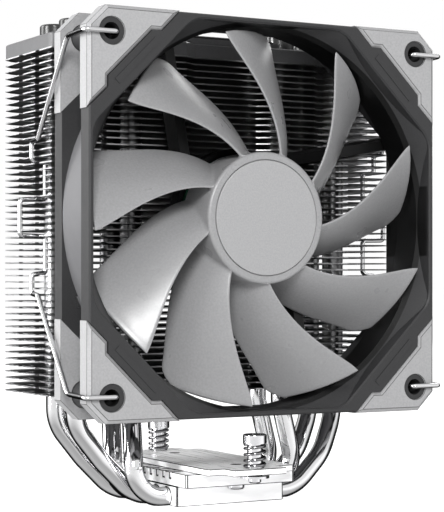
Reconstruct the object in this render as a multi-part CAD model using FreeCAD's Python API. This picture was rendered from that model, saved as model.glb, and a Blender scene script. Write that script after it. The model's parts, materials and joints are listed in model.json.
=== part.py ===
import FreeCAD
import Part
import math
import os

# Tower cooler for a computer processor: a nickel-plated copper base, four bent heat pipes,
# a stack of thin aluminium fins and a 120 mm fan held on by two spring wire clips.
#
# Frame: +Z up, -Y towards the fan side, +X to the right when the fan is seen from the front.
# The origin is the centre of the flat underside that presses on the processor. Millimetres.

# ---- driving dimensions -------------------------------------------------------------------

FAN_DEPTH = 25.0
FAN_FRONT_Y = -42.8
FAN_CENTRE_Z = 88.65
FAN_HOLE_OFFSET = 52.5

PIPE_RADIUS = 3.0
PIPE_FIT = 0.05
PIPE_BASE_Z = 2.6
PIPE_TOP_Z = 147.0
PIPE_BASE_PITCH = 7.53
OUTER_LEG_X = 46.6
OUTER_LEG_Y = (-3.2, 11.8)
INNER_LEG_X = 27.0
INNER_LEG_Y = (-1.9, 13.2)

FIN_COUNT = 53
FIN_PITCH = 1.994
FIN_THICKNESS = 0.4
FIN_FIRST_Z = 35.15
FIN_HALF_WIDTH = 60.0
FIN_FRONT_Y = -16.8
FIN_REAR_Y = 25.8
CLIP_GROOVE_Y = (-7.2, -4.1)
REAR_GROOVE_Y = (5.8, 8.9)
GROOVE_FLOOR_X = 56.0
FIN_CORNER_Y = 20.4
COLLAR_WALL = 0.4

COVER_HEIGHT = 4.4
COVER_WALL = 1.6
COVER_CORNER = 2.5
COVER_RIM = 2.0
FIELD_HALF_X = 21.4
FIELD_Y = (-14.0, 22.0)
FIELD_RISE = 1.7
BADGE_INSET = 1.8
FIELD_CORNER = 3.0
BADGE_TOP_Z = 146.4
CAP_RADIUS = 4.9
CAP_HEIGHT = 6.1

BASE_HALF_X = 19.1
BASE_HALF_Y = 17.8
BASE_TOP_Z = 6.3
BLOCK_HALF_Y = 24.3
BLOCK_TOP_Z = 10.5
BLOCK_GROOVE_PITCH = 4.5
BLOCK_GROOVE_WIDTH = 1.35
BLOCK_GROOVE_DEPTH = 2.0

BRIDGE_THICKNESS = 2.0
BRIDGE_HALF_X = 15.0
BRIDGE_HALF_Y = 30.8
EAR_HALF_X = 9.4
EAR_END_Y = 36.8
SCREW_Y = 32.9
SCREW_RADIUS = 2.4
SCREW_HEAD_RADIUS = 3.65
SCREW_HEAD_Z = 20.0
SCREW_TOP_Z = 22.85
SCREW_TIP_Z = 7.9
THREAD_RADIUS = 2.0
RING_GROOVE_Z = (9.35, 10.25)
NECK_RADIUS = 1.8
SLOT_HALF_LENGTH = 2.3
SLOT_HALF_WIDTH = 0.5
SLOT_DEPTH = 1.4
RING_RADIUS = 4.45
RING_BORE = 1.86
RING_GAP_HALF = 1.2
BRIDGE_SCREW_Y = 21.0
BRIDGE_SCREW_RADIUS = 1.5
BRIDGE_SCREW_HOLE = 1.55
BRIDGE_SCREW_HEAD_RADIUS = 2.7
BRIDGE_SCREW_HEAD_HEIGHT = 1.5
SPRING_RADIUS = 3.05
SPRING_WIRE = 0.9
SPRING_TURNS = 4

FLANGE = 5.6
FLANGE_HALF = 59.6
FLANGE_CORNER = 5.5
WEB_DEPTH = (1.85, 3.95)
WEB_SHRINK = 1.65
WEB_REACH = 24.0
WEB_FIT = 0.05
PAD_HALF = 60.0
PAD_CORNER = 5.8
PAD_PROUD = 0.2
PAD_BEVEL = 1.1
PAD_END = 30.2
PAD_STEP = 36.4
PAD_BACK = 39.6
PAD_SHOULDER = 53.6
DUCT_RADIUS = 58.0
DUCT_WALL = 1.4
MOUTH_RADIUS = 63.4
MOUTH_DEPTH = 7.0
MOUTH_FLAT = 58.1
MOUTH_DIAGONAL = 59.3
MOUTH_ROUNDING = 9.0
RIM_CHAMFER = 0.45
HOLE_RADIUS = 2.5
BOSS_RADIUS = 4.0
BAR_HALF_LENGTH = 9.0
BAR_HALF_WIDTH = 0.95
BAR_DISTANCE = 62.95
BAR_PROUD = 0.25

BLADE_COUNT = 9
BLADE_TIP_RADIUS = 57.0
BLADE_FRONT = 2.0
BLADE_ROOT_SETBACK = 1.4
BLADE_REAR = 18.0
BLADE_PHASE = 24.7
BLADE_FRONT_SWEEP = 30.0
BLADE_REAR_SWEEP = 35.0
BLADE_TIP_SPAN = 25.5
BLADE_TIP_ROUND_FROM = 52.0
BLADE_TIP_ROUNDING = 0.16
BLADE_EDGE_HALF = 0.35
BLADE_BELLY = 2.4
HUB_RADIUS = 20.0
HUB_FRONT = 2.4
HUB_REAR = 19.3
HUB_FLOOR = HUB_FRONT + 2.2
INLAY_RADIUS = 17.4
INLAY_SEAT_RADIUS = 17.6
INLAY_SEAT_DEPTH = 0.6
YOKE_RADIUS = 18.2
MAGNET_RADIUS = 17.2
MAGNET_BORE = 15.6
MAGNET_DEPTH = (7.6, 18.4)
SHAFT_RADIUS = 1.5
SHAFT_GROOVE_RADIUS = 1.15
SHAFT_GROOVE = (22.0, 22.4)
SHAFT_END = 22.9
SHAFT_FRONT = HUB_FRONT + 1.8

STRUT_OFFSET = 15.6
STRUT_TILT = 9.8
STRUT_DEPTH = (19.0, 24.8)
STRUT_HALF_WIDTH = (1.6, 2.4)
STRUT_SPAN = (10.0, 58.6)
SEAT_RADIUS = 22.0
SEAT_WALL = 1.2
SEAT_FRONT = 19.8
SEAT_FLOOR = 22.4
SEAT_REAR = 24.6
BEARING_RADIUS = 4.0
BEARING_BORE = 1.55
BEARING_DEPTH = (8.6, 21.4)
BEARING_TUBE_RADIUS = 5.2
BEARING_TUBE_DEPTH = (8.0, 23.0)
CORE_BORE = 5.25
CORE_RING_RADIUS = 7.4
CORE_SHOE = (13.0, 14.8)
CORE_DEPTH = (9.5, 16.5)
CORE_ARM_HALF = 2.0
COIL_SPAN = (8.0, 12.2)
COIL_DEPTH = (7.6, 18.4)
COIL_HALF = 3.9
COIL_ROUNDING = 1.4
BOARD_BORE = 5.3
BOARD_RADIUS = 19.5
BOARD_FRONT = 20.9
LABEL_RADIUS = 15.0
LABEL_THICKNESS = 0.3

CLIP_WIRE_RADIUS = 0.75
CLIP_HOOK_X = 51.3
CLIP_HOOK_DEPTH = 2.4
CLIP_HOOK_Z = 52.2
CLIP_SIDE_X = 61.2
CLIP_REST_X = 61.6
CLIP_GROOVE_X = 57.2
CLIP_HANDLE_X = 65.4
CLIP_HANDLE_Z = 5.5

# ---- heights that follow from them --------------------------------------------------------

FIN_TOP_Z = FIN_FIRST_Z + (FIN_COUNT - 1) * FIN_PITCH + FIN_THICKNESS
COVER_TOP_Z = FIN_TOP_Z + COVER_HEIGHT
BRIDGE_TOP_Z = BLOCK_TOP_Z + BRIDGE_THICKNESS
CLIP_FACE = -PAD_PROUD - CLIP_WIRE_RADIUS - 0.2

UP = FreeCAD.Vector(0, 0, 1)
BACK = FreeCAD.Vector(0, 1, 0)
RIGHT = FreeCAD.Vector(1, 0, 0)
ORIGIN = FreeCAD.Vector(0, 0, 0)


def vec(x, y, z):
    return FreeCAD.Vector(x, y, z)


# ---- simple solids ------------------------------------------------------------------------

def block(x, y, z):
    """A box from three (low, high) pairs."""
    return Part.makeBox(x[1] - x[0], y[1] - y[0], z[1] - z[0], vec(x[0], y[0], z[0]))


def upright(radius, x, y, low, high):
    """A cylinder along Z."""
    return Part.makeCylinder(radius, high - low, vec(x, y, low), UP)


def disc(radius, front, rear, x=0.0, z=0.0):
    """A cylinder along Y."""
    return Part.makeCylinder(radius, rear - front, vec(x, front, z), BACK)


def tube(inner, outer, front, rear, x=0.0, z=0.0):
    """A ring along Y."""
    return disc(outer, front, rear, x, z).cut(disc(inner, front - 1, rear + 1, x, z))


def plate_xy(points, low, high):
    """A plate lying flat: an outline in X and Y, raised from low to high."""
    corners = [vec(x, y, low) for x, y in points]
    face = Part.Face(Part.makePolygon(corners + corners[:1]))
    return face.extrude(vec(0, 0, high - low))


def plate_xz(points, front, rear):
    """A plate standing up: an outline in X and Z, from front to rear along Y."""
    corners = [vec(x, front, z) for x, z in points]
    face = Part.Face(Part.makePolygon(corners + corners[:1]))
    return face.extrude(vec(0, rear - front, 0))


def join(shapes):
    """One solid from several that overlap."""
    return shapes[0].multiFuse(shapes[1:]).removeSplitter()


def bend_path(points, radii):
    """A wire of straight runs with a tangent arc at each inner point."""
    edges = []
    start = points[0]
    for before, corner, after, radius in zip(points, points[1:], points[2:], radii):
        inward = (before - corner).normalize()
        outward = (after - corner).normalize()
        half_angle = inward.getAngle(outward) / 2
        setback = radius / math.tan(half_angle)
        first = corner + inward * setback
        last = corner + outward * setback
        centre_line = (inward + outward).normalize()
        middle = corner + centre_line * (radius / math.sin(half_angle) - radius)
        edges.append(Part.LineSegment(start, first).toShape())
        edges.append(Part.Arc(first, middle, last).toShape())
        start = last
    edges.append(Part.LineSegment(start, points[-1]).toShape())
    return Part.Wire(edges)


def bent_rod(points, radii, radius):
    """A round rod along straight runs joined by arcs."""
    path = bend_path(points, radii)
    heading = (points[1] - points[0]).normalize()
    section = Part.Wire(Part.makeCircle(radius, points[0], heading))
    return path.makePipeShell([section], True, False)


def helix_span(radius, pitch, first, last):
    """A smooth curve along a helix about Z between two counts of turns."""
    def place(turn):
        angle = 2 * math.pi * turn
        return vec(radius * math.cos(angle), radius * math.sin(angle), pitch * turn)

    def heading(turn):
        angle = 2 * math.pi * turn
        around = 2 * math.pi * radius
        return vec(-around * math.sin(angle), around * math.cos(angle), pitch)

    steps = 6
    points = [place(first + (last - first) * step / steps) for step in range(steps + 1)]
    curve = Part.BSplineCurve()
    curve.interpolate(Points=points, InitialTangent=heading(first), FinalTangent=heading(last))
    return curve.toShape()


def coil(radius, wire, low, high, turns, x, y):
    """A round-wire compression spring along Z whose wire stays between low and high."""
    pitch = (high - low - wire) / turns
    spans_per_turn = 8
    spans = [helix_span(radius, pitch, count / spans_per_turn, (count + 1) / spans_per_turn)
             for count in range(turns * spans_per_turn)]
    heading = vec(0, 2 * math.pi * radius, pitch)
    section = Part.Wire(Part.makeCircle(wire / 2, vec(radius, 0, 0), heading))
    spring = Part.Wire(spans).makePipeShell([section], True, True)
    spring.translate(vec(x, y, low + wire / 2))
    return spring


# ---- base and heat pipes ------------------------------------------------------------------

def pipe_lanes():
    """Where the four pipes cross the base, front to rear."""
    return [PIPE_BASE_PITCH * (lane - 1.5) for lane in range(4)]


def contact_base():
    """The lower base block; the pipes lie in its open channels, flush with its underside."""
    base = block((-BASE_HALF_X, BASE_HALF_X), (-BASE_HALF_Y, BASE_HALF_Y), (0, BASE_TOP_Z))
    corner = 0.4
    base = base.makeChamfer(corner, [edge for edge in base.Edges if is_upright(edge)])
    for lane in pipe_lanes():
        channel = Part.makeCylinder(PIPE_RADIUS + PIPE_FIT, 60, vec(-30, lane, PIPE_BASE_Z), RIGHT)
        base = base.cut(channel)
    return base


def is_upright(edge):
    """True for a straight edge along Z."""
    low, high = edge.BoundBox.ZMin, edge.BoundBox.ZMax
    return high - low > 0.9 * edge.Length > 0


def grooved_block():
    """The small aluminium sink above the base, with grooves along X in its top."""
    sink = block((-BASE_HALF_X, BASE_HALF_X), (-BLOCK_HALF_Y, BLOCK_HALF_Y),
                 (BASE_TOP_Z, BLOCK_TOP_Z))
    corner = 0.5
    sink = sink.makeChamfer(corner, [edge for edge in sink.Edges if is_upright(edge)])
    half = BLOCK_GROOVE_WIDTH / 2
    for step in range(-3, 4):
        middle = step * BLOCK_GROOVE_PITCH
        sink = sink.cut(block((-30, 30), (middle - half, middle + half),
                              (BLOCK_TOP_Z - BLOCK_GROOVE_DEPTH, BLOCK_TOP_Z + 1)))
    for y in (-BRIDGE_SCREW_Y, BRIDGE_SCREW_Y):
        sink = sink.cut(upright(BRIDGE_SCREW_HOLE, 0, y, BASE_TOP_Z - 1, BLOCK_TOP_Z + 1))
    return sink


def outer_side(side, lane, leg_y):
    """Path points and bend radii from the base out to an outer leg."""
    points = [vec(side * 26.6, lane, PIPE_BASE_Z),
              vec(side * 37.5, lane + 0.06 * (leg_y - lane), 13.5),
              vec(side * OUTER_LEG_X, leg_y, 25.0),
              vec(side * OUTER_LEG_X, leg_y, PIPE_TOP_Z)]
    return points, [14.0, 18.0, 14.0]


def inner_side(side, lane, leg_y):
    """Path points and bend radii from the base up to an inner leg, which bulges outward."""
    points = [vec(side * 30.4, lane, PIPE_BASE_Z),
              vec(side * 30.2, lane + 0.1 * (leg_y - lane), 14.0),
              vec(side * INNER_LEG_X, leg_y, 30.0),
              vec(side * INNER_LEG_X, leg_y, PIPE_TOP_Z)]
    return points, [9.6, 14.0, 12.0]


def heat_pipe(number):
    """One pipe: up the left side, across the base and up the right side."""
    lane = pipe_lanes()[number]
    pair = number // 2
    outer_on_right = number % 2 == 0
    if outer_on_right:
        left, left_radii = inner_side(-1, lane, INNER_LEG_Y[pair])
        right, right_radii = outer_side(1, lane, OUTER_LEG_Y[pair])
    else:
        left, left_radii = outer_side(-1, lane, OUTER_LEG_Y[pair])
        right, right_radii = inner_side(1, lane, INNER_LEG_Y[pair])
    points = left[::-1] + right
    pipe = bent_rod(points, left_radii[::-1] + right_radii, PIPE_RADIUS)
    return pipe.cut(block((-60, 60), (-40, 40), (-10, 0)))


def leg_places():
    """The eight (x, y) places where pipe legs pass through the fins."""
    outer = [(side * OUTER_LEG_X, y) for side in (-1, 1) for y in OUTER_LEG_Y]
    inner = [(side * INNER_LEG_X, y) for side in (-1, 1) for y in INNER_LEG_Y]
    return outer + inner


# ---- fins, cover and caps -----------------------------------------------------------------

def side_groove(span):
    """Outline points of a groove in the right side of a fin, front to rear."""
    front, rear = span
    return [(FIN_HALF_WIDTH, front), (GROOVE_FLOOR_X, front),
            (GROOVE_FLOOR_X, rear), (FIN_HALF_WIDTH, rear)]


def fin_outline(side_points):
    """The outline of a fin or its cover; side_points run along the right side, front to rear."""
    recess = 2.6
    right = [(0, FIN_FRONT_Y + recess), (11, FIN_FRONT_Y + recess), (15, FIN_FRONT_Y),
             (31, FIN_FRONT_Y), (34, FIN_FRONT_Y + recess), (41, FIN_FRONT_Y + recess),
             (44, FIN_FRONT_Y), (FIN_HALF_WIDTH, FIN_FRONT_Y)]
    right += side_points
    right += [(FIN_HALF_WIDTH, FIN_CORNER_Y), (57.0, 23.0), (46.0, FIN_REAR_Y), (0, FIN_REAR_Y)]
    left = [(-x, y) for x, y in right[::-1] if x > 0]
    return right + left


def fin():
    """The lowest fin, with a collar round each pipe that spaces it from the one below."""
    drop = FIN_PITCH - FIN_THICKNESS - 0.05
    low = FIN_FIRST_Z - drop
    high = FIN_FIRST_Z + FIN_THICKNESS
    outline = fin_outline(side_groove(CLIP_GROOVE_Y) + side_groove(REAR_GROOVE_Y))
    parts = [plate_xy(outline, FIN_FIRST_Z, high)]
    for x, y in leg_places():
        parts.append(upright(PIPE_RADIUS + PIPE_FIT + COLLAR_WALL, x, y, low, high))
    whole = join(parts)
    for x, y in leg_places():
        whole = whole.cut(upright(PIPE_RADIUS + PIPE_FIT, x, y, low - 1, high + 1))
    return whole


def cooling_fins():
    """The whole stack of separate fins."""
    first = fin()
    stack = []
    for level in range(FIN_COUNT):
        copy = first.copy()
        copy.translate(vec(0, 0, level * FIN_PITCH))
        stack.append(copy)
    return Part.makeCompound(stack)


def top_cover():
    """A shallow tray turned upside down over the top fin, with a raised field for its badge."""
    cover = plate_xy(fin_outline([]), FIN_TOP_Z, COVER_TOP_Z)
    corners = [edge for edge in cover.Edges
               if is_upright(edge) and abs(edge.BoundBox.XMin) > FIN_HALF_WIDTH - 0.1]
    cover = cover.makeFillet(COVER_CORNER, corners)
    half_inside = GROOVE_FLOOR_X - COVER_RIM
    inside = block((-half_inside, half_inside), (FIN_FRONT_Y + 4.5, FIN_REAR_Y - 5),
                   (FIN_TOP_Z - 1, COVER_TOP_Z - COVER_WALL))
    cover = cover.cut(inside)
    for x, y in leg_places():
        cover = cover.cut(upright(PIPE_RADIUS + 0.3, x, y, FIN_TOP_Z - 1, COVER_TOP_Z + 1))
    top = [face for face in cover.Faces if face.BoundBox.ZMin > COVER_TOP_Z - 0.01]
    cover = cover.makeChamfer(0.4, top[0].OuterWire.Edges)
    field = rounded_field(0.0, COVER_TOP_Z - 1, COVER_TOP_Z + FIELD_RISE)
    pocket = rounded_field(BADGE_INSET, COVER_TOP_Z + FIELD_RISE - 1, COVER_TOP_Z + 5)
    return join([cover, field]).cut(pocket)


def rounded_field(inset, low, high):
    """The raised field's rectangle, drawn in by inset, with rounded corners."""
    field = block((inset - FIELD_HALF_X, FIELD_HALF_X - inset),
                  (FIELD_Y[0] + inset, FIELD_Y[1] - inset), (low, high))
    return field.makeFillet(FIELD_CORNER - inset / 2, [edge for edge in field.Edges if is_upright(edge)])


def cover_badge():
    """The plain black plate set into the cover's raised field."""
    plate = rounded_field(BADGE_INSET, COVER_TOP_Z + FIELD_RISE - 1, BADGE_TOP_Z)
    top = [edge for edge in plate.Edges if edge.BoundBox.ZMin > BADGE_TOP_Z - 0.01]
    return plate.makeChamfer(0.3, top)


def pipe_caps():
    """Eight round caps that close the pipe ends above the cover."""
    caps = []
    for x, y in leg_places():
        cap = upright(CAP_RADIUS, x, y, COVER_TOP_Z, COVER_TOP_Z + CAP_HEIGHT)
        top = [edge for edge in cap.Edges if edge.BoundBox.ZMin > COVER_TOP_Z + CAP_HEIGHT - 0.1]
        cap = cap.makeFillet(0.8, top)
        cap = cap.cut(upright(PIPE_RADIUS + PIPE_FIT, x, y, COVER_TOP_Z - 1, PIPE_TOP_Z + 0.2))
        caps.append(cap)
    return Part.makeCompound(caps)


# ---- mounting bridge and its spring screws ------------------------------------------------

def mounting_bridge():
    """The plate across the base, with a narrower ear front and rear for each spring screw."""
    main = block((-BRIDGE_HALF_X, BRIDGE_HALF_X), (-BRIDGE_HALF_Y, BRIDGE_HALF_Y),
                 (BLOCK_TOP_Z, BRIDGE_TOP_Z))
    ears = block((-EAR_HALF_X, EAR_HALF_X), (-EAR_END_Y, EAR_END_Y), (BLOCK_TOP_Z, BRIDGE_TOP_Z))
    bridge = join([main, ears])
    bridge = bridge.makeFillet(0.9, [edge for edge in bridge.Edges if is_upright(edge)])
    for y in (-SCREW_Y, SCREW_Y):
        bridge = bridge.cut(upright(SCREW_RADIUS + 0.3, 0, y, 0, 30))
    for y in (-BRIDGE_SCREW_Y, BRIDGE_SCREW_Y):
        bridge = bridge.cut(upright(BRIDGE_SCREW_HOLE, 0, y, 0, 30))
    return bridge


def bridge_screws():
    """Two pan-head screws up through the grooved block into the bridge."""
    screws = []
    for y in (-BRIDGE_SCREW_Y, BRIDGE_SCREW_Y):
        low = BASE_TOP_Z - BRIDGE_SCREW_HEAD_HEIGHT
        head = upright(BRIDGE_SCREW_HEAD_RADIUS, 0, y, low, BASE_TOP_Z)
        rim = [edge for edge in head.Edges if edge.BoundBox.ZMax < low + 0.1]
        head = head.makeFillet(0.9, rim)
        shank = upright(BRIDGE_SCREW_RADIUS, 0, y, BASE_TOP_Z - 0.2, BRIDGE_TOP_Z)
        screws.append(join([head, shank]))
    return Part.makeCompound(screws)


def spring_screw(y):
    """A captive mounting screw: slotted head, shank, groove for its ring, threaded tip."""
    head = upright(SCREW_HEAD_RADIUS, 0, y, SCREW_HEAD_Z, SCREW_TOP_Z)
    rims = [edge for edge in head.Edges if edge.BoundBox.ZMin > SCREW_TOP_Z - 0.1]
    head = head.makeFillet(0.5, rims)
    groove_low, groove_high = RING_GROOVE_Z
    shank = upright(SCREW_RADIUS, 0, y, groove_high, SCREW_HEAD_Z + 0.5)
    neck = upright(NECK_RADIUS, 0, y, groove_low - 0.1, groove_high + 0.1)
    thread = upright(THREAD_RADIUS, 0, y, SCREW_TIP_Z, groove_low)
    tip = [edge for edge in thread.Edges if edge.BoundBox.ZMax < SCREW_TIP_Z + 0.1]
    screw = join([head, shank, neck, thread.makeChamfer(0.4, tip)])
    for half_x, half_y in ((SLOT_HALF_LENGTH, SLOT_HALF_WIDTH), (SLOT_HALF_WIDTH, SLOT_HALF_LENGTH)):
        slot = block((-half_x, half_x), (y - half_y, y + half_y), (SCREW_TOP_Z - SLOT_DEPTH, 30))
        screw = screw.cut(slot)
    return screw


def retaining_clip(y, opening):
    """A split ring in the screw's groove, under the bridge; opening is +1 or -1 along X."""
    clearance = 0.1
    low, high = RING_GROOVE_Z[0] + clearance, RING_GROOVE_Z[1] - clearance
    ring = upright(RING_RADIUS, 0, y, low, high)
    ring = ring.cut(upright(RING_BORE, 0, y, low - 1, high + 1))
    gap = block(sorted((opening * 0.5, opening * 6)), (y - RING_GAP_HALF, y + RING_GAP_HALF),
                (low - 1, high + 1))
    return ring.cut(gap)


def screw_spring(y):
    """The compression spring between the bridge and the screw's head."""
    return coil(SPRING_RADIUS, SPRING_WIRE, BRIDGE_TOP_Z, SCREW_HEAD_Z - 0.05, SPRING_TURNS, 0, y)


# ---- fan: modelled about its own centre, with depth 0 at the front face ---------------------

def to_fan(shape):
    """Moves a fan piece from the fan's own centre to its place on the cooler."""
    shape.translate(vec(0, FAN_FRONT_Y, FAN_CENTRE_Z))
    return shape


def pad_outline():
    """The outline of the corner pad at the upper left."""
    return [(PAD_CORNER - PAD_HALF, PAD_HALF), (-PAD_END, PAD_HALF),
            (-PAD_STEP, PAD_SHOULDER), (-PAD_BACK, PAD_SHOULDER),
            (-PAD_SHOULDER, PAD_BACK), (-PAD_SHOULDER, PAD_STEP),
            (-PAD_HALF, PAD_END), (-PAD_HALF, PAD_HALF - PAD_CORNER)]


def mirrored(shape, flip_x, flip_z):
    """A copy of an upper-left shape, turned to another corner."""
    copy = shape.copy()
    if flip_x:
        copy = copy.mirror(ORIGIN, RIGHT)
    if flip_z:
        copy = copy.mirror(ORIGIN, UP)
    return copy


def corner_web(front, rear, shrink):
    """The part of the frame's flange that reaches inside an upper-left corner pad."""
    half = FLANGE_HALF - shrink
    outline = [(FLANGE_CORNER - half, half), (-WEB_REACH, half), (-WEB_REACH, WEB_REACH),
               (-half, WEB_REACH), (-half, half - FLANGE_CORNER)]
    return plate_xz(outline, front, rear)


def corner_pad():
    """A soft pad that wraps a corner of the front flange, at the upper left."""
    pad = plate_xz(pad_outline(), -PAD_PROUD, FLANGE)
    outer = [edge for edge in pad.Edges if edge.BoundBox.YMax < 0]
    pad = pad.makeChamfer(PAD_BEVEL, outer)
    slot = corner_web(WEB_DEPTH[0] - WEB_FIT, WEB_DEPTH[1] + WEB_FIT, WEB_SHRINK - WEB_FIT)
    hole = disc(BOSS_RADIUS + 0.05, -1, FLANGE + 1, -FAN_HOLE_OFFSET, FAN_HOLE_OFFSET)
    return pad.cut(slot).cut(hole)


def octagon(flat, diagonal, front, rear, rounding):
    """A prism with eight sides: four at flat from the centre, four at diagonal, rounded."""
    far = diagonal * math.sqrt(2) - flat
    corners = [(flat, far), (far, flat), (-far, flat), (-flat, far),
               (-flat, -far), (-far, -flat), (far, -flat), (flat, -far)]
    prism = plate_xz(corners, front, rear)
    edges = [edge for edge in prism.Edges if edge.BoundBox.YLength > rear - front - 0.01]
    return prism.makeFillet(rounding, edges)


def flared_mouth():
    """The space of the duct's mouth: a cone that widens forward into a rounded octagon."""
    cone = Part.makeCone(MOUTH_RADIUS, DUCT_RADIUS, MOUTH_DEPTH, vec(0, -0.01, 0), BACK)
    mouth = cone.common(octagon(MOUTH_FLAT, MOUTH_DIAGONAL, -1, 10, MOUTH_ROUNDING))
    rim = octagon(MOUTH_FLAT + RIM_CHAMFER, MOUTH_DIAGONAL + RIM_CHAMFER, -1, RIM_CHAMFER,
                  MOUTH_ROUNDING)
    inner = [edge for edge in rim.Edges if edge.BoundBox.YMin > RIM_CHAMFER - 0.01]
    return mouth.fuse(rim.makeChamfer(RIM_CHAMFER - 0.02, inner))


def flange(front, rear):
    """A square end plate of the frame, without its corners, which the pads cover."""
    half = FLANGE_HALF
    cut = FLANGE_CORNER
    outline = [(half - cut, half), (half, half - cut), (half, cut - half), (half - cut, -half),
               (cut - half, -half), (-half, cut - half), (-half, half - cut), (cut - half, half)]
    plate = plate_xz(outline, front, rear)
    outer = front if front == 0 else rear
    rim = [edge for edge in plate.Edges
           if abs(edge.BoundBox.YMin - outer) + abs(edge.BoundBox.YMax - outer) < 0.02]
    plate = plate.makeChamfer(RIM_CHAMFER, rim)
    pad_space = plate_xz(pad_outline(), front - 1, rear + 1)
    for flip_x in (False, True):
        for flip_z in (False, True):
            plate = plate.cut(mirrored(pad_space, flip_x, flip_z))
    return plate


def strut(turn):
    """One of four arms from the motor seat to the frame, set off to one side of the centre."""
    front, rear = STRUT_DEPTH
    slim, wide = STRUT_HALF_WIDTH
    inner, outer = STRUT_SPAN
    section = [vec(-STRUT_OFFSET - slim, front, inner), vec(-STRUT_OFFSET + slim, front, inner),
               vec(-STRUT_OFFSET + wide, rear, inner), vec(-STRUT_OFFSET - wide, rear, inner)]
    face = Part.Face(Part.makePolygon(section + section[:1]))
    arm = face.extrude(vec(0, 0, outer - inner))
    arm.rotate(ORIGIN, BACK, -STRUT_TILT + 90 * turn)
    return arm.cut(disc(SEAT_RADIUS - 0.6, front - 1, SEAT_FLOOR))


def fan_frame():
    """The moulded frame: two flanges, the duct, corner posts, struts and the motor seat."""
    rear_flange = FAN_DEPTH - FLANGE
    parts = [flange(0, FLANGE), flange(rear_flange, FAN_DEPTH),
             disc(DUCT_RADIUS + DUCT_WALL, 1, FAN_DEPTH - 1)]
    post = disc(BOSS_RADIUS, 0.3, FAN_DEPTH - 0.3, -FAN_HOLE_OFFSET, FAN_HOLE_OFFSET)
    near, far = WEB_DEPTH
    webs = [corner_web(near, far, WEB_SHRINK),
            corner_web(FAN_DEPTH - far, FAN_DEPTH - near, WEB_SHRINK)]
    bar = block((-BAR_HALF_LENGTH, BAR_HALF_LENGTH), (-BAR_PROUD, 3),
                (BAR_DISTANCE - BAR_HALF_WIDTH, BAR_DISTANCE + BAR_HALF_WIDTH))
    bar.rotate(ORIGIN, BACK, -45)
    for flip_x in (False, True):
        for flip_z in (False, True):
            parts += [mirrored(piece, flip_x, flip_z) for piece in [post, bar] + webs]
    frame = join(parts)
    frame = frame.cut(disc(DUCT_RADIUS, -1, FAN_DEPTH + 1))
    mouth = flared_mouth()
    frame = frame.cut(mouth).cut(mouth.mirror(vec(0, FAN_DEPTH / 2, 0), BACK))
    for x in (-FAN_HOLE_OFFSET, FAN_HOLE_OFFSET):
        for z in (-FAN_HOLE_OFFSET, FAN_HOLE_OFFSET):
            frame = frame.cut(disc(HOLE_RADIUS, -1, FAN_DEPTH + 1, x, z))
    return join([frame, motor_seat()] + [strut(turn) for turn in range(4)])


def motor_seat():
    """The cup at the rear that carries the bearing tube, with a notch for the lead."""
    seat = disc(SEAT_RADIUS, SEAT_FRONT, SEAT_REAR)
    seat = seat.cut(disc(SEAT_RADIUS - SEAT_WALL, SEAT_FRONT - 1, SEAT_FLOOR))
    seat = seat.fuse(disc(BEARING_TUBE_RADIUS, *BEARING_TUBE_DEPTH))
    seat = seat.cut(disc(BEARING_RADIUS, 7, 26))
    lead_notch = block((-1.6, 1.6), (SEAT_FRONT - 1, 22), (-SEAT_RADIUS - 1, 2 - SEAT_RADIUS))
    return seat.cut(lead_notch)


def blade_point(radius, along, side):
    """A point on a blade: along runs from leading edge 0 to trailing edge 1, side is +1 or -1."""
    outward = (BLADE_TIP_RADIUS - radius) / (BLADE_TIP_RADIUS - HUB_RADIUS)
    leading = -BLADE_FRONT_SWEEP * outward ** 1.35
    trailing = -BLADE_TIP_SPAN - BLADE_REAR_SWEEP * outward ** 1.65
    rounded_band = BLADE_TIP_RADIUS - BLADE_TIP_ROUND_FROM
    tip_round = max(0.0, (radius - BLADE_TIP_ROUND_FROM) / rounded_band)
    along *= 1.0 - BLADE_TIP_ROUNDING * tip_round ** 2
    angle = math.radians(leading + along * (trailing - leading))
    slope = math.radians(trailing - leading) * radius
    front = BLADE_FRONT + BLADE_ROOT_SETBACK * min(outward, 1.0) ** 2
    depth = front + (BLADE_REAR - front) * (0.8 * along + 0.2 * along ** 2)
    depth_slope = (BLADE_REAR - front) * (0.8 + 0.4 * along)
    length = math.hypot(slope, depth_slope)
    half = BLADE_EDGE_HALF + BLADE_BELLY * along * (1 - along)
    angle += side * half * depth_slope / length / radius
    depth -= side * half * slope / length
    return vec(radius * math.cos(angle), depth, radius * math.sin(angle))


def blade():
    """One fan blade: two smooth skins closed by four narrow side faces."""
    radii = [19.0, 24.0, 30.0, 36.0, 42.0, 48.0, 52.0, 55.0, BLADE_TIP_RADIUS]
    steps = [step / 8 for step in range(9)]
    skins = []
    for side in (-1, 1):
        grid = [[blade_point(radius, step, side) for step in steps] for radius in radii]
        skin = Part.BSplineSurface()
        skin.interpolate(grid)
        skins.append(skin)
    faces = [skin.toShape() for skin in skins]
    first, last = skins
    for edge_a, edge_b in ((first.uIso(0), last.uIso(0)), (first.uIso(1), last.uIso(1)),
                           (first.vIso(0), last.vIso(0)), (first.vIso(1), last.vIso(1))):
        faces.append(Part.makeRuledSurface(edge_a.toShape(), edge_b.toShape()))
    shell = Part.makeShell(faces)
    shell.sewShape()
    solid = Part.makeSolid(shell)
    if solid.Volume < 0:
        solid.reverse()
    return solid


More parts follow.
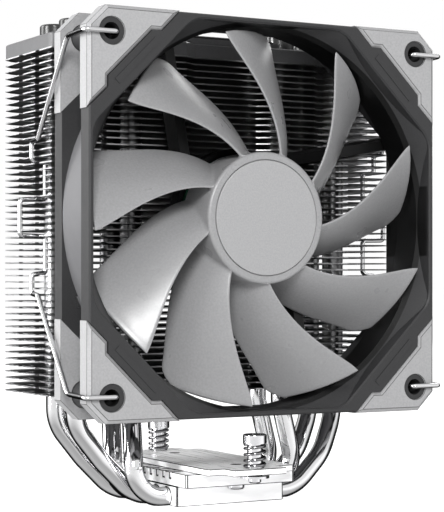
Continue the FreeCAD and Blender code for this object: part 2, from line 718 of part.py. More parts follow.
def impeller():
    """The hub cup and its blades, moulded as one piece."""
    hub = disc(HUB_RADIUS, HUB_FRONT, HUB_REAR)
    rim = [edge for edge in hub.Edges if edge.BoundBox.YMax < HUB_FRONT + 0.1]
    hub = hub.makeFillet(1.0, rim)
    hub = hub.cut(disc(YOKE_RADIUS, HUB_FLOOR, HUB_REAR + 1))
    hub = hub.cut(disc(INLAY_SEAT_RADIUS, HUB_FRONT - 1, HUB_FRONT + INLAY_SEAT_DEPTH))
    boss = disc(3.2, HUB_FRONT + 1.5, HUB_FRONT + 5.0)
    hub = hub.fuse(boss).cut(disc(SHAFT_RADIUS, SHAFT_FRONT, HUB_REAR))
    first = blade()
    blades = []
    for count in range(BLADE_COUNT):
        copy = first.copy()
        copy.rotate(ORIGIN, BACK, -BLADE_PHASE - count * 360.0 / BLADE_COUNT)
        blades.append(copy)
    return join([hub] + blades)


def hub_disc():
    """The plain round inlay in the front of the hub."""
    inlay = disc(INLAY_RADIUS, HUB_FRONT - 0.15, HUB_FRONT + INLAY_SEAT_DEPTH)
    rim = [edge for edge in inlay.Edges if edge.BoundBox.YMax < HUB_FRONT]
    return inlay.makeFillet(0.25, rim)


def fan_shaft():
    """The steel shaft, fixed in the hub, with a groove for its washer at the rear."""
    shaft = disc(SHAFT_RADIUS, SHAFT_FRONT, SHAFT_END)
    return shaft.cut(tube(SHAFT_GROOVE_RADIUS, 3.0, *SHAFT_GROOVE))


def shaft_washer():
    """The snap washer that stops the shaft from pulling out of its bearing."""
    fit = 0.05
    front, rear = SHAFT_GROOVE
    return tube(SHAFT_GROOVE_RADIUS + fit, 2.8, front + fit, rear - fit)


def stator_core():
    """The laminated core: a ring with four arms that end in curved shoes."""
    front, rear = CORE_DEPTH
    parts = [tube(CORE_BORE, CORE_RING_RADIUS, front, rear)]
    shoe_inner, shoe_outer = CORE_SHOE
    shoes = tube(shoe_inner, shoe_outer, front, rear)
    for turn in range(4):
        arm = block((CORE_RING_RADIUS - 0.9, shoe_inner + 0.6), (front, rear),
                    (-CORE_ARM_HALF, CORE_ARM_HALF))
        wedge = plate_xz([(0, 0), (30, -22), (30, 22)], front, rear)
        shoe = shoes.common(wedge)
        for piece in (arm, shoe):
            piece.rotate(ORIGIN, BACK, 90 * turn)
            parts.append(piece)
    return join(parts)


def stator_coils():
    """Four copper windings, one round each arm."""
    fit = 0.05
    coils = []
    for turn in range(4):
        winding = block(COIL_SPAN, COIL_DEPTH, (-COIL_HALF, COIL_HALF))
        corners = [edge for edge in winding.Edges if edge.BoundBox.XLength > 4]
        winding = winding.makeFillet(COIL_ROUNDING, corners)
        winding = winding.cut(block((6, 15), (CORE_DEPTH[0] - fit, CORE_DEPTH[1] + fit),
                                    (-CORE_ARM_HALF - fit, CORE_ARM_HALF + fit)))
        winding.rotate(ORIGIN, BACK, 90 * turn)
        coils.append(winding)
    return Part.makeCompound(coils)


# ---- wire clips ---------------------------------------------------------------------------

def wire_clip():
    """The left clip: hooks into the fan's two left holes and drops into the fins' groove."""
    groove_y = (CLIP_GROOVE_Y[0] + CLIP_GROOVE_Y[1]) / 2 - FAN_FRONT_Y + 0.3
    upper = [vec(-CLIP_HOOK_X, CLIP_HOOK_DEPTH, CLIP_HOOK_Z),
             vec(-CLIP_HOOK_X, CLIP_FACE, CLIP_HOOK_Z),
             vec(-CLIP_SIDE_X, CLIP_FACE, CLIP_HOOK_Z),
             vec(-CLIP_SIDE_X, 11.7, 51.8),
             vec(-CLIP_REST_X, 32.8, 23.4),
             vec(-CLIP_REST_X, groove_y, 22.9),
             vec(-CLIP_REST_X, groove_y, 17.2),
             vec(-CLIP_GROOVE_X, groove_y, 16.6),
             vec(-CLIP_GROOVE_X, groove_y, CLIP_HANDLE_Z + 0.1),
             vec(-CLIP_HANDLE_X, groove_y, CLIP_HANDLE_Z - 0.1)]
    lower = [vec(point.x, point.y, -point.z) for point in upper[::-1]]
    radii = [1.1, 1.3, 4.0, 1.2, 1.2, 1.1, 1.1, 1.1, 1.1]
    return bent_rod(upper + lower, radii + radii[::-1], CLIP_WIRE_RADIUS)


# ---- writing the pieces -------------------------------------------------------------------

def save(name, shape):
    """Writes one sub-part and reports anything that isn't a sound solid."""
    shape.exportStep(os.path.join("parts", name + ".step"))
    solids = shape.Solids
    sound = bool(solids) and shape.isValid() and all(solid.Volume > 0 for solid in solids)
    volume = sum(solid.Volume for solid in solids)
    print(f"{name:24s} solids {len(solids):3d}  volume {volume:10.1f}  {'ok' if sound else 'BAD'}")


def save_heatsink():
    save("contact_base", contact_base())
    save("grooved_block", grooved_block())
    for number in range(4):
        save(f"heat_pipe_{number + 1}", heat_pipe(number))
    save("cooling_fins", cooling_fins())
    save("top_cover", top_cover())
    save("cover_badge", cover_badge())
    save("pipe_caps", pipe_caps())
    save("mounting_bridge", mounting_bridge())
    save("bridge_screws", bridge_screws())
    for name, y, opening in (("front", -SCREW_Y, 1), ("rear", SCREW_Y, -1)):
        save(f"{name}_spring_screw", spring_screw(y))
        save(f"{name}_screw_spring", screw_spring(y))
        save(f"{name}_retaining_clip", retaining_clip(y, opening))


def save_pads():
    front_pad = corner_pad()
    rear_pad = front_pad.mirror(vec(0, FAN_DEPTH / 2, 0), BACK)
    for face, pad in (("front", front_pad), ("rear", rear_pad)):
        for level, flip_z in (("top", False), ("bottom", True)):
            for side, flip_x in (("left", False), ("right", True)):
                name = f"{face}_pad_{level}_{side}"
                save(name, to_fan(mirrored(pad, flip_x, flip_z)))


def save_fan():
    save("fan_frame", to_fan(fan_frame()))
    save("bearing_sleeve", to_fan(tube(BEARING_BORE, BEARING_RADIUS, *BEARING_DEPTH)))
    save("stator_core", to_fan(stator_core()))
    save("stator_coils", to_fan(stator_coils()))
    save("circuit_board", to_fan(tube(BOARD_BORE, BOARD_RADIUS, BOARD_FRONT, SEAT_FLOOR)))
    save("rear_label", to_fan(disc(LABEL_RADIUS, SEAT_REAR, SEAT_REAR + LABEL_THICKNESS)))
    save("impeller", to_fan(impeller()))
    save("hub_disc", to_fan(hub_disc()))
    save("rotor_yoke", to_fan(tube(MAGNET_RADIUS, YOKE_RADIUS, HUB_FLOOR, 18.8)))
    save("magnet_ring", to_fan(tube(MAGNET_BORE, MAGNET_RADIUS, *MAGNET_DEPTH)))
    save("fan_shaft", to_fan(fan_shaft()))
    save("shaft_washer", to_fan(shaft_washer()))
    left_clip = wire_clip()
    save("left_wire_clip", to_fan(left_clip.copy()))
    save("right_wire_clip", to_fan(left_clip.mirror(ORIGIN, RIGHT)))


os.makedirs("parts", exist_ok=True)
save_heatsink()
save_pads()
save_fan()
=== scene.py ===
import json
import math

import bmesh
import bpy
from mathutils import Matrix, Vector


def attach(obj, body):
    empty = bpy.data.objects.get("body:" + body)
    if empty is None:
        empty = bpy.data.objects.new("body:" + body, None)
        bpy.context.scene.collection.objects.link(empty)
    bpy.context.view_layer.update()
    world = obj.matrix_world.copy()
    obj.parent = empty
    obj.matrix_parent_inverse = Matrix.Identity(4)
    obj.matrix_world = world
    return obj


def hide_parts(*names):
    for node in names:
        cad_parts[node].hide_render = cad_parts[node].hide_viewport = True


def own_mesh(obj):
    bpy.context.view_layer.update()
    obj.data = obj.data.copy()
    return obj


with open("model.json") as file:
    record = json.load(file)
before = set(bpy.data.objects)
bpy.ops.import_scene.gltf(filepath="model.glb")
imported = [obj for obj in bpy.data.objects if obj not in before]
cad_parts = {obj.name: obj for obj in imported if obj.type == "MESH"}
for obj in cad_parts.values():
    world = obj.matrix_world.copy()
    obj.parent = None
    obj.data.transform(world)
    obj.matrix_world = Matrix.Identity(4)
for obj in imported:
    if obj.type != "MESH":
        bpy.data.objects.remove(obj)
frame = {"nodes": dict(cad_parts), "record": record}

# Sizes of the object are millimetres, in the same frame as the CAD model, and MM turns them to
# metres. The studio round it, from the floor to the camera, is laid out in metres.
MM = 0.001
SCENE = bpy.context.scene
NODES = frame["nodes"]
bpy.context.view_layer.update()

FAN_FRONT_Y = -42.8
FAN_CENTRE_Z = 88.65
FAN_CENTRE = Vector((0, FAN_FRONT_Y, FAN_CENTRE_Z))
FLANGE = 5.6
FAN_DEPTH = 25.0
DUCT_OUTSIDE = 59.4

PIPE_RADIUS = 3.0
PIPE_BASE_Z = 2.6
PIPE_TOP_Z = 147.0
PIPE_LANE_PITCH = 7.53
OUTER_LEG_X = 46.6
OUTER_LEG_Y = (-3.2, 11.8)
INNER_LEG_X = 27.0
INNER_LEG_Y = (-1.9, 13.2)

SCREW_Y = 32.9
SPRING_LOW = 12.5
SPRING_HIGH = 19.95
SPRING_RADIUS = 3.05
SPRING_WIRE = 0.9

CLIP_WIRE_RADIUS = 0.75
CLIP_HOOK_X = 51.3
CLIP_HOOK_Z = 52.2
CLIP_FACE = -1.15
CLIP_SIDE_X = 61.2
CLIP_REST_X = 61.6
CLIP_GROOVE_X = 57.2
CLIP_GROOVE_DEPTH = 37.45
CLIP_HANDLE_X = 65.4

BLADE_COUNT = 9
BLADE_PHASE = 24.7
BLADE_TIP = 57.0
BLADE_DEPTH = (2.0, 18.0)
BLADE_ROOT_SETBACK = 1.4
BLADE_FRONT_SWEEP = 30.0
BLADE_REAR_SWEEP = 35.0
BLADE_TIP_SPAN = 25.5
BLADE_TIP_ROUND_FROM = 52.0
BLADE_TIP_ROUNDING = 0.16
BLADE_TIP_NOSE = 0.5
BLADE_EDGE_HALF = 0.35
BLADE_BELLY = 2.4
BLADE_FILLET = 1.0
HUB_RADIUS = 20.0
HUB_FRONT = 2.4
HUB_REAR = 19.3
HUB_ROUNDING = 1.0
HUB_BORE = 18.2
HUB_FLOOR = HUB_FRONT + 2.2
DISC_SEAT_RADIUS = 17.6
SHAFT_RADIUS = 1.5

WELD_DISTANCE = 0.001
EDGE_WIDTH = {"contact_base": 0.25, "grooved_block": 0.22, "mounting_bridge": 0.22}
PAD_EDGE_WIDTH = 0.12


# ---- node materials -----------------------------------------------------------------------

class Nodes:
    """Short ways to add and join the nodes of one shader tree."""

    def __init__(self, tree):
        self.tree = tree

    def add(self, kind, **settings):
        node = self.tree.nodes.new(kind)
        for key, value in settings.items():
            setattr(node, key, value)
        return node

    def link(self, output, socket):
        self.tree.links.new(output, socket)

    def feed(self, value, socket):
        """Puts a colour, or the output of another node, into a socket."""
        if isinstance(value, tuple):
            socket.default_value = (*value, 1)
        else:
            self.link(value, socket)

    def spread(self, factor, low, high, start=0.3, end=0.7):
        """Maps a factor's stretch from start to end to the range from low to high."""
        node = self.add("ShaderNodeMapRange")
        node.inputs["From Min"].default_value = start
        node.inputs["From Max"].default_value = end
        node.inputs["To Min"].default_value = low
        node.inputs["To Max"].default_value = high
        self.link(factor, node.inputs["Value"])
        return node.outputs["Result"]

    def rise(self, length, start, end):
        """0 below start, 1 above end; the length is in metres, the limits in millimetres."""
        return self.spread(length, 0.0, 1.0, start * MM, end * MM)

    def fall(self, length, start, end):
        """1 below start, 0 above end; the length is in metres, the limits in millimetres."""
        return self.spread(length, 1.0, 0.0, start * MM, end * MM)

    def ramp(self, factor, stops):
        """A colour that follows (place, colour) stops along a factor."""
        node = self.add("ShaderNodeValToRGB")
        elements = node.color_ramp.elements
        while len(elements) < len(stops):
            elements.new(0.5)
        for element, (place, colour) in zip(elements, stops):
            element.position = place
            element.color = (*colour, 1)
        self.link(factor, node.inputs["Fac"])
        return node.outputs["Color"]

    def product(self, *factors):
        """All factors multiplied together."""
        result = factors[0]
        for factor in factors[1:]:
            node = self.add("ShaderNodeMath", operation="MULTIPLY")
            self.link(result, node.inputs[0])
            self.link(factor, node.inputs[1])
            result = node.outputs[0]
        return result

    def blend(self, factor, first, second):
        """The first colour where the factor is 0, the second where it is 1."""
        node = self.add("ShaderNodeMix", data_type="RGBA")
        self.link(factor, node.inputs["Factor"])
        self.feed(first, node.inputs["A"])
        self.feed(second, node.inputs["B"])
        return node.outputs["Result"]

    def split(self, vector):
        """The X, Y and Z of a vector."""
        node = self.add("ShaderNodeSeparateXYZ")
        self.link(vector, node.inputs[0])
        return [node.outputs[axis] for axis in "XYZ"]


def scaled(colour, share):
    """A colour made lighter or darker by a share, and never brighter than white."""
    return tuple(min(1.0, channel * share) for channel in colour)


class Finish(Nodes):
    """A Principled material whose sockets are set directly or fed by small node groups."""

    def __init__(self, name, colour, roughness, metallic=0.0, **sockets):
        self.material = bpy.data.materials.new(name)
        self.material.use_nodes = True
        super().__init__(self.material.node_tree)
        self.shader = self.tree.nodes["Principled BSDF"]
        self.colour = colour
        self.roughness = roughness
        self.set("Base Color", (*colour, 1.0))
        self.set("Roughness", roughness)
        self.set("Metallic", metallic)
        for socket, value in sockets.items():
            self.set(socket.replace("_", " "), value)
        self.place = self.add("ShaderNodeTexCoord").outputs["Object"]
        self.bump_chain = None

    def set(self, socket, value):
        self.shader.inputs[socket].default_value = value

    def noise(self, scale, detail=3.0, stretch=None):
        """A noise in object coordinates; uneven stretch turns it into streaks."""
        source = self.place
        if stretch:
            mapping = self.add("ShaderNodeMapping")
            mapping.inputs["Scale"].default_value = stretch
            self.link(self.place, mapping.inputs["Vector"])
            source = mapping.outputs["Vector"]
        node = self.add("ShaderNodeTexNoise")
        node.inputs["Scale"].default_value = scale
        node.inputs["Detail"].default_value = detail
        self.link(source, node.inputs["Vector"])
        return node.outputs["Fac"]

    def shade(self, factor, dark, light):
        """A colour that runs from dark to light over the middle of a noise."""
        return self.ramp(factor, ((0.3, dark), (0.7, light)))

    def colour_from(self, output):
        self.link(output, self.shader.inputs["Base Color"])

    def vary_colour(self, factor, amount):
        """Lightens and darkens the base colour by a share, following a noise."""
        dark = scaled(self.colour, 1 - amount)
        light = scaled(self.colour, 1 + amount)
        self.colour_from(self.shade(factor, dark, light))

    def vary_roughness(self, factor, amount):
        varied = self.spread(factor, self.roughness - amount, self.roughness + amount)
        self.link(varied, self.shader.inputs["Roughness"])

    def bump(self, factor, height, strength=1.0):
        """Adds relief of the given height in millimetres."""
        node = self.add("ShaderNodeBump")
        node.inputs["Strength"].default_value = strength
        node.inputs["Distance"].default_value = height * MM
        self.link(factor, node.inputs["Height"])
        if self.bump_chain:
            self.link(self.bump_chain, node.inputs["Normal"])
        self.bump_chain = node.outputs["Normal"]
        self.link(self.bump_chain, self.shader.inputs["Normal"])


def moulded(name, colour, roughness, grain=2600, depth=0.010, **sockets):
    """Moulded plastic or rubber with a fine spark-eroded grain."""
    finish = Finish(name, colour, roughness, **sockets)
    broad = finish.noise(90)
    finish.vary_colour(finish.noise(grain * 0.7, 1.0), 0.06)
    finish.vary_roughness(broad, 0.06)
    finish.bump(broad, 0.02, 0.2)
    finish.bump(finish.noise(grain, 2.0), depth, 0.6)
    return finish.material


def plated(name, colour, roughness, streak=(1, 1, 1), edge=0.05, **sockets):
    """Bright nickel plate with faint drawing marks; its reflection darkens at grazing angles."""
    finish = Finish(name, colour, roughness, metallic=1.0, Specular_Tint=(edge, edge, edge, 1),
                    **sockets)
    streaks = finish.noise(900, 2.0, streak)
    finish.vary_colour(finish.noise(60, 2.0), 0.05)
    finish.vary_roughness(streaks, 0.03)
    finish.bump(finish.noise(45, 1.0), 0.05, 0.2)
    finish.bump(streaks, 0.003, 0.4)
    return finish.material


def sheet_metal(name, colour, roughness, streak, **sockets):
    """Rolled or milled metal: long fine lines along one direction."""
    finish = Finish(name, colour, roughness, metallic=1.0, **sockets)
    lines = finish.noise(700, 3.0, streak)
    finish.vary_colour(lines, 0.08)
    finish.vary_roughness(lines, 0.06)
    finish.bump(lines, 0.005, 0.6)
    return finish.material


def fin_metal(name, face, edge, roughness):
    """Thin rolled sheet with painted light: faces painted dark as the shade between the fins,
    sheared edges painted bright as a highlight, and the edges facing the fan painted darker as the
    fan's shadow.
    """
    finish = Finish(name, face, roughness, metallic=1.0)
    lines = finish.noise(700, 3.0, (0.04, 1, 1))
    # The sheet faces are painted dark, standing in for the shade between the fins.
    shaded_faces = finish.shade(lines, scaled(face, 0.85), scaled(face, 1.15))
    normal = finish.add("ShaderNodeNewGeometry").outputs["Normal"]
    _, facing_back, facing_up = finish.split(normal)
    upright = finish.add("ShaderNodeMath", operation="ABSOLUTE")
    finish.link(facing_up, upright.inputs[0])
    flatness = finish.spread(upright.outputs[0], 0.0, 1.0, 0.4, 0.6)
    # Edges that face the fan get a painted shadow, darker than the painted highlight on the other
    # edges.
    clear_of_fan_shadow = finish.spread(facing_back, 0.0, 1.0, -0.9, -0.5)
    edge_highlight = finish.ramp(clear_of_fan_shadow, ((0.0, scaled(edge, 0.55)), (1.0, edge)))
    finish.colour_from(finish.blend(flatness, edge_highlight, shaded_faces))
    finish.vary_roughness(lines, 0.06)
    finish.bump(lines, 0.005, 0.5)
    return finish.material


def fan_coordinates(finish):
    """Distance from the fan's axis and depth behind its front face, both in metres."""
    shift = finish.add("ShaderNodeMapping")
    shift.inputs["Location"].default_value = -FAN_CENTRE * MM
    finish.link(finish.place, shift.inputs["Vector"])
    across, depth, height = finish.split(shift.outputs["Vector"])
    flat = finish.add("ShaderNodeCombineXYZ")
    finish.link(across, flat.inputs["X"])
    finish.link(height, flat.inputs["Z"])
    reach = finish.add("ShaderNodeVectorMath", operation="LENGTH")
    finish.link(flat.outputs["Vector"], reach.inputs[0])
    return reach.outputs["Value"], depth


def frame_plastic(name, colour, roughness):
    """The frame's plastic: grained flanges, the duct's inside painted darker as shade and its
    outside painted paler as the highlight of the lamp at the left.
    """
    finish = Finish(name, colour, roughness, Specular_IOR_Level=0.3)
    reach, depth = fan_coordinates(finish)
    # Painted shade: the duct's inner wall is darkened to a tenth of the plastic's colour.
    inside = finish.product(finish.fall(reach, DUCT_OUTSIDE - 0.3, DUCT_OUTSIDE - 0.2),
                            finish.rise(depth, 0.5, 2.0))
    # Painted highlight: the duct's outer wall between the flanges is made 4.5 times paler, as the
    # sheen of the lamp at the left.
    outside = finish.product(finish.rise(reach, DUCT_OUTSIDE - 0.2, DUCT_OUTSIDE - 0.1),
                             finish.fall(reach, DUCT_OUTSIDE + 0.5, DUCT_OUTSIDE + 0.6),
                             finish.rise(depth, FLANGE + 0.1, FLANGE + 0.3),
                             finish.fall(depth, FAN_DEPTH - FLANGE - 0.2, FAN_DEPTH - FLANGE))
    grain = finish.noise(1500, 2.0)
    flange = finish.shade(grain, colour, scaled(colour, 1.15))
    shaded = finish.blend(inside, flange, scaled(colour, 0.10))
    finish.colour_from(finish.blend(outside, shaded, scaled(colour, 4.5)))
    finish.vary_roughness(finish.noise(90), 0.06)
    finish.bump(grain, 0.015, 0.6)
    return finish.material


# The flats of the base, block and bridge look evenly pale, so they mirror little of the room.
MATERIALS = {
    "base_plate": plated("nickel_base", (0.95, 0.95, 0.96), 0.25, (0.1, 1, 1), 0.6, Metallic=0.0),
    "base_block": sheet_metal("milled_block", (0.92, 0.92, 0.93), 0.30, (0.05, 1, 1),
                              Metallic=0.0),
    "heat_pipes": plated("nickel_pipe", (0.90, 0.90, 0.91), 0.07, (1, 1, 0.08), 0.0),
    # Fin faces are painted dark as shade and their edges painted bright as a highlight.
    "fins": fin_metal("fin_sheet_painted_light", (0.16, 0.16, 0.165), (0.70, 0.70, 0.71), 0.34),
    "top_cover": moulded("cover_grey", (0.085, 0.085, 0.088), 0.42),
    "caps": moulded("cap_black", (0.008, 0.008, 0.008), 0.22, 1800, 0.004),
    "bridge": sheet_metal("nickel_bridge", (0.95, 0.95, 0.96), 0.30, (1, 0.06, 1),
                          Metallic=0.0),
    "screws": plated("nickel_screw", (0.85, 0.85, 0.87), 0.12, edge=0.0),
    "springs": plated("spring_wire", (0.34, 0.34, 0.35), 0.10, edge=0.0),
    "frame": frame_plastic("frame_black", (0.026, 0.026, 0.027), 0.42),
    "pads": moulded("pad_grey", (0.30, 0.30, 0.305), 0.50, 2400, 0.006,
                    Specular_IOR_Level=0.3),
    "bearing": sheet_metal("bearing_bronze", (0.55, 0.42, 0.25), 0.35, (1, 1, 1)),
    "laminations": sheet_metal("lamination_steel", (0.22, 0.22, 0.23), 0.45, (1, 0.02, 1)),
    "windings": sheet_metal("copper_wire", (0.70, 0.30, 0.13), 0.30, (1, 1, 0.05)),
    "board": moulded("board_green", (0.02, 0.10, 0.05), 0.35),
    "label": moulded("label_grey", (0.45, 0.45, 0.45), 0.40, 2000, 0.003),
    "impeller": moulded("impeller_grey", (0.25, 0.25, 0.255), 0.32, 2200, 0.006),
    "hub_disc": moulded("disc_grey", (0.29, 0.29, 0.295), 0.42, 3000, 0.006),
    "yoke": sheet_metal("yoke_steel", (0.45, 0.45, 0.46), 0.32, (1, 0.05, 1)),
    "magnet": moulded("magnet_black", (0.03, 0.03, 0.03), 0.50),
    "clips": plated("clip_wire", (0.80, 0.80, 0.81), 0.10, edge=0.0),
}

# Dark materials for the chamfers: painted shade lines along the edges.
CHAMFER_SHADE_METAL = plated("chamfer_painted_shade", (0.02, 0.02, 0.02), 0.3)
CHAMFER_SHADE_RUBBER = moulded("pad_chamfer_painted_shade", (0.07, 0.07, 0.071), 0.5)


# ---- mesh making --------------------------------------------------------------------------

def smooth(mesh, angle):
    """Smooth shading, with edges sharper than angle (in degrees) left crisp."""
    for polygon in mesh.polygons:
        polygon.use_smooth = True
    mesh.set_sharp_from_angle(angle=math.radians(angle))


def make_piece(name, points, faces, slot, body, node):
    """A mesh piece that rides on a body and stands for a CAD node."""
    mesh = bpy.data.meshes.new(name)
    mesh.from_pydata([Vector(point) * MM for point in points], [], faces)
    mesh.materials.append(MATERIALS[slot])
    smooth(mesh, 35)
    piece = bpy.data.objects.new(name, mesh)
    SCENE.collection.objects.link(piece)
    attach(piece, body)
    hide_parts(node)
    return piece


def loft(rings):
    """Points and faces of closed rings joined in order, with a flat face at each end."""
    sides = len(rings[0])
    points = [point for ring in rings for point in ring]
    faces = [tuple(range(sides))[::-1]]
    for level in range(len(rings) - 1):
        for side in range(sides):
            following = (side + 1) % sides
            low, high = level * sides, (level + 1) * sides
            faces.append((low + side, low + following, high + following, high + side))
    last = (len(rings) - 1) * sides
    faces.append(tuple(range(last, last + sides)))
    return points, faces


def bend_path(corners, radii):
    """Points along straight runs joined by tangent arcs."""
    line = [corners[0]]
    for before, corner, after, radius in zip(corners, corners[1:], corners[2:], radii):
        inward = (before - corner).normalized()
        outward = (after - corner).normalized()
        half = inward.angle(outward) / 2
        first = corner + inward * radius / math.tan(half)
        centre = corner + (inward + outward).normalized() * radius / math.sin(half)
        axis = inward.cross(outward).normalized()
        turn = math.pi - 2 * half
        count = max(4, math.ceil(turn / math.radians(5)))
        for step in range(count + 1):
            spin = Matrix.Rotation(-turn * step / count, 3, axis)
            line.append(centre + spin @ (first - centre))
    line.append(corners[-1])
    return line


def headings(line):
    """The direction of travel at each point of a line."""
    ahead = line[1:] + line[-1:]
    behind = line[:1] + line[:-1]
    return [(after - before).normalized() for before, after in zip(behind, ahead)]


def rod(line, radius, sides, rounded=False):
    """Rings of a round rod along a line, carried along it without twist."""
    travel = headings(line)
    stations = [(point, heading, radius) for point, heading in zip(line, travel)]
    if rounded:
        tips = [math.radians(angle) for angle in (75, 50, 25)]
        nose = [(line[0] - travel[0] * radius * math.sin(tip), travel[0], radius * math.cos(tip))
                for tip in tips]
        tail = [(line[-1] + travel[-1] * radius * math.sin(tip), travel[-1], radius * math.cos(tip))
                for tip in tips[::-1]]
        stations = nose + stations + tail
    across = stations[0][1].orthogonal().normalized()
    previous = stations[0][1]
    rings = []
    for point, heading, size in stations:
        across = previous.rotation_difference(heading) @ across
        previous = heading
        beside = heading.cross(across)
        angles = [2 * math.pi * side / sides for side in range(sides)]
        rings.append([point + size * (math.cos(a) * across + math.sin(a) * beside) for a in angles])
    return rings


# ---- heat pipes ---------------------------------------------------------------------------

def outer_side(side, lane, leg_y):
    """Path corners and bend radii from the base out to an outer leg."""
    corners = [Vector((side * 26.6, lane, PIPE_BASE_Z)),
               Vector((side * 37.5, lane + 0.06 * (leg_y - lane), 13.5)),
               Vector((side * OUTER_LEG_X, leg_y, 25.0)),
               Vector((side * OUTER_LEG_X, leg_y, PIPE_TOP_Z))]
    return corners, [14.0, 18.0, 14.0]


def inner_side(side, lane, leg_y):
    """Path corners and bend radii from the base up to an inner leg."""
    corners = [Vector((side * 30.4, lane, PIPE_BASE_Z)),
               Vector((side * 30.2, lane + 0.1 * (leg_y - lane), 14.0)),
               Vector((side * INNER_LEG_X, leg_y, 30.0)),
               Vector((side * INNER_LEG_X, leg_y, PIPE_TOP_Z))]
    return corners, [9.6, 14.0, 12.0]


def make_heat_pipes():
    """Four bent pipes, milled flat where they meet the processor."""
    for number in range(4):
        lane = PIPE_LANE_PITCH * (number - 1.5)
        pair = number // 2
        if number % 2 == 0:
            left, left_radii = inner_side(-1, lane, INNER_LEG_Y[pair])
            right, right_radii = outer_side(1, lane, OUTER_LEG_Y[pair])
        else:
            left, left_radii = outer_side(-1, lane, OUTER_LEG_Y[pair])
            right, right_radii = inner_side(1, lane, INNER_LEG_Y[pair])
        line = bend_path(left[::-1] + right, left_radii[::-1] + right_radii)
        points, faces = loft(rod(line, PIPE_RADIUS, 40))
        milled = [(point.x, point.y, max(point.z, 0.0)) for point in points]
        name = f"heat_pipe_{number + 1}"
        make_piece(f"{name}_bent", milled, faces, "heat_pipes", "heatsink", name)


# ---- wire clips and springs ---------------------------------------------------------------

def clip_path(side):
    """Corners and bend radii of a wire clip: hook, run back, groove, handle and down again."""
    upper = [(-CLIP_HOOK_X, 2.4, CLIP_HOOK_Z),
             (-CLIP_HOOK_X, CLIP_FACE, CLIP_HOOK_Z),
             (-CLIP_SIDE_X, CLIP_FACE, CLIP_HOOK_Z),
             (-CLIP_SIDE_X, 11.7, 51.8),
             (-CLIP_REST_X, 32.8, 23.4),
             (-CLIP_REST_X, CLIP_GROOVE_DEPTH, 22.9),
             (-CLIP_REST_X, CLIP_GROOVE_DEPTH, 17.2),
             (-CLIP_GROOVE_X, CLIP_GROOVE_DEPTH, 16.6),
             (-CLIP_GROOVE_X, CLIP_GROOVE_DEPTH, 5.6),
             (-CLIP_HANDLE_X, CLIP_GROOVE_DEPTH, 5.4)]
    lower = [(x, depth, -height) for x, depth, height in upper[::-1]]
    corners = [Vector((side * x, depth, height)) + FAN_CENTRE for x, depth, height in upper + lower]
    radii = [1.1, 1.3, 4.0, 1.2, 1.2, 1.1, 1.1, 1.1, 1.1]
    return corners, radii + radii[::-1]


def make_wire_clips():
    """The two bent wires that hold the fan."""
    for side, body in ((1, "left_clip"), (-1, "right_clip")):
        line = bend_path(*clip_path(side))
        points, faces = loft(rod(line, CLIP_WIRE_RADIUS, 20, rounded=True))
        name = body.replace("_clip", "_wire_clip")
        make_piece(f"{name}_bent", points, faces, "clips", body, name)


def coil_height(turn, closed, active, wire, rise):
    """Height of the wire's centre: closed turns lie wire on wire, the rest spread evenly."""
    closed_rise = closed * wire
    pitch = (rise - 2 * closed_rise) / active
    if turn < closed:
        return turn * wire
    if turn < closed + active:
        return closed_rise + (turn - closed) * pitch
    return rise - (2 * closed + active - turn) * wire


def coil_line(y):
    """The middle of a spring's wire, from its lowest to its highest point."""
    closed, active = 0.75, 3.0
    steps_per_turn = 36
    rise = SPRING_HIGH - SPRING_LOW - 0.5 * SPRING_WIRE
    count = round((2 * closed + active) * steps_per_turn)
    line = []
    for step in range(count + 1):
        turn = step / steps_per_turn
        angle = 2 * math.pi * turn
        height = coil_height(turn, closed, active, SPRING_WIRE, rise)
        line.append(Vector((SPRING_RADIUS * math.cos(angle), y + SPRING_RADIUS * math.sin(angle),
                            SPRING_LOW + 0.25 * SPRING_WIRE + height)))
    return line


def make_springs():
    """Two compression springs with closed ends, ground flat."""
    for which, y in (("front", -SCREW_Y), ("rear", SCREW_Y)):
        points, faces = loft(rod(coil_line(y), SPRING_WIRE / 2, 14))
        ground = [(p.x, p.y, min(max(p.z, SPRING_LOW), SPRING_HIGH)) for p in points]
        spring = make_piece(f"{which}_coil", ground, faces, "springs", "heatsink",
                            f"{which}_screw_spring")
        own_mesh(spring)


# ---- impeller -----------------------------------------------------------------------------

def blade_point(radius, along, side):
    """A point on a blade's skin: along runs from leading edge 0 to trailing edge 1."""
    outward = (BLADE_TIP - radius) / (BLADE_TIP - HUB_RADIUS)
    leading = -BLADE_FRONT_SWEEP * outward ** 1.35
    trailing = -BLADE_TIP_SPAN - BLADE_REAR_SWEEP * outward ** 1.65
    rounded_band = BLADE_TIP - BLADE_TIP_ROUND_FROM
    tip_round = max(0.0, (radius - BLADE_TIP_ROUND_FROM) / rounded_band)
    reach = along * (1.0 - BLADE_TIP_ROUNDING * tip_round ** 2)
    angle = math.radians(leading + reach * (trailing - leading))
    slope = math.radians(trailing - leading) * radius
    front, rear = BLADE_DEPTH
    front += BLADE_ROOT_SETBACK * min(outward, 1.0) ** 2
    depth = front + (rear - front) * (0.8 * reach + 0.2 * reach ** 2)
    depth_slope = (rear - front) * (0.8 + 0.4 * reach)
    length = math.hypot(slope, depth_slope)
    half = blade_half_thickness(radius, along)
    angle += side * half * depth_slope / length / radius
    depth -= side * half * slope / length
    return Vector((radius * math.cos(angle), depth, radius * math.sin(angle)))


def blade_half_thickness(radius, along):
    """Half the blade's thickness: rounded edges and tip, and a fillet at the root."""
    nose = 0.03
    edge = min(along, 1.0 - along)
    rounding = 1.0 if edge > nose else math.sqrt(1.0 - (1.0 - edge / nose) ** 2)
    over = max(0.0, (radius - BLADE_TIP + BLADE_TIP_NOSE) / BLADE_TIP_NOSE)
    rounding *= math.sqrt(1.0 - 0.8 * over ** 2)
    near = min(max((HUB_RADIUS + BLADE_FILLET - radius) / BLADE_FILLET, 0.0), 1.0)
    flare = BLADE_FILLET * (1.0 - math.sqrt(1.0 - near ** 2))
    return (BLADE_EDGE_HALF + BLADE_BELLY * along * (1.0 - along) + flare) * rounding


